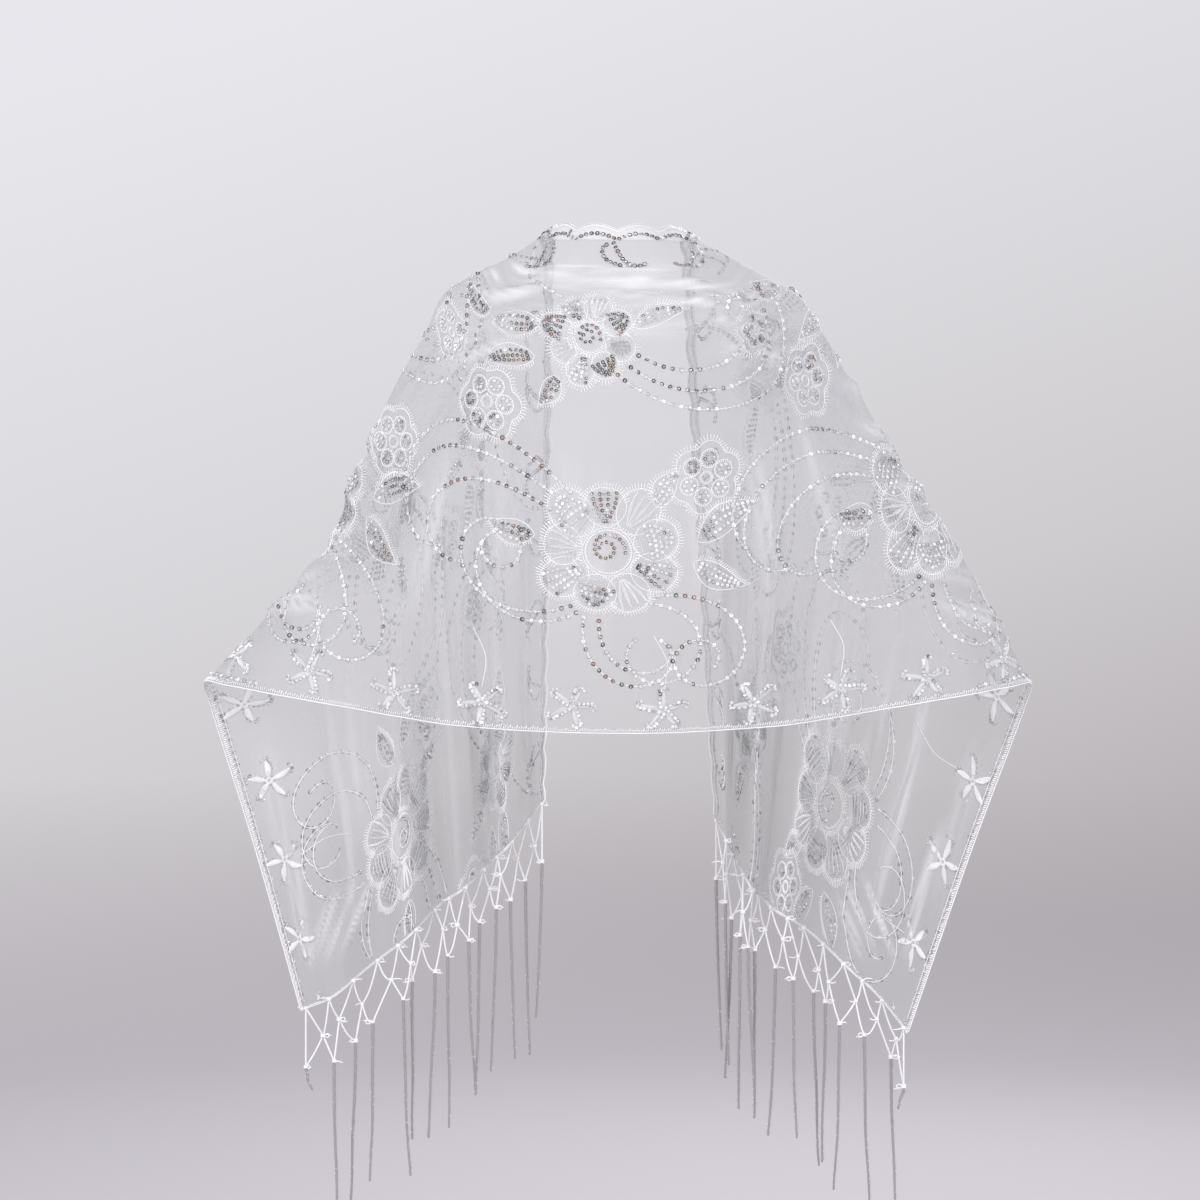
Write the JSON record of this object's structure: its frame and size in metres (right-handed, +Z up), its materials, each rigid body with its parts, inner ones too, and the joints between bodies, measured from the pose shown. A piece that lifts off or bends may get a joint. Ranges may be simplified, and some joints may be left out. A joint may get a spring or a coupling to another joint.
{
  "type": "lace shawl",
  "caption": "Sheer white embroidered net evening shawl with scalloped edge and knotted fringe, worn over shoulders and arms, hollow.",
  "frame": {"origin": "on the centre line at the height of the shoulder tips, level with the tops of the arms, where the wearer's shoulders hold the shawl", "axes": "+Z up, -Y to the front of the shawl, +X to the right as seen from the front"},
  "size_m": [0.9073, 0.3006, 1.1207],
  "materials": {
    "net": "sheer fine tulle net, soft white",
    "stitching": "dense white rayon thread stitching, slight sheen",
    "fringe_cord": "loose twisted greyish white rayon cord",
    "sequin": "clear and silver cup sequins, glossy"
  },
  "bodies": {
    "root": {"front_drape": "net", "left_back_drape": "net", "right_back_drape": "net", "left_tail": "net", "right_tail": "net", "front_scalloped_edge": "stitching", "left_scalloped_edge": "stitching", "right_scalloped_edge": "stitching", "front_hem_edge": "stitching", "left_hem_edge": "stitching", "right_hem_edge": "stitching", "left_fringe": "fringe_cord", "right_fringe": "fringe_cord"}
  },
  "joints": []
}
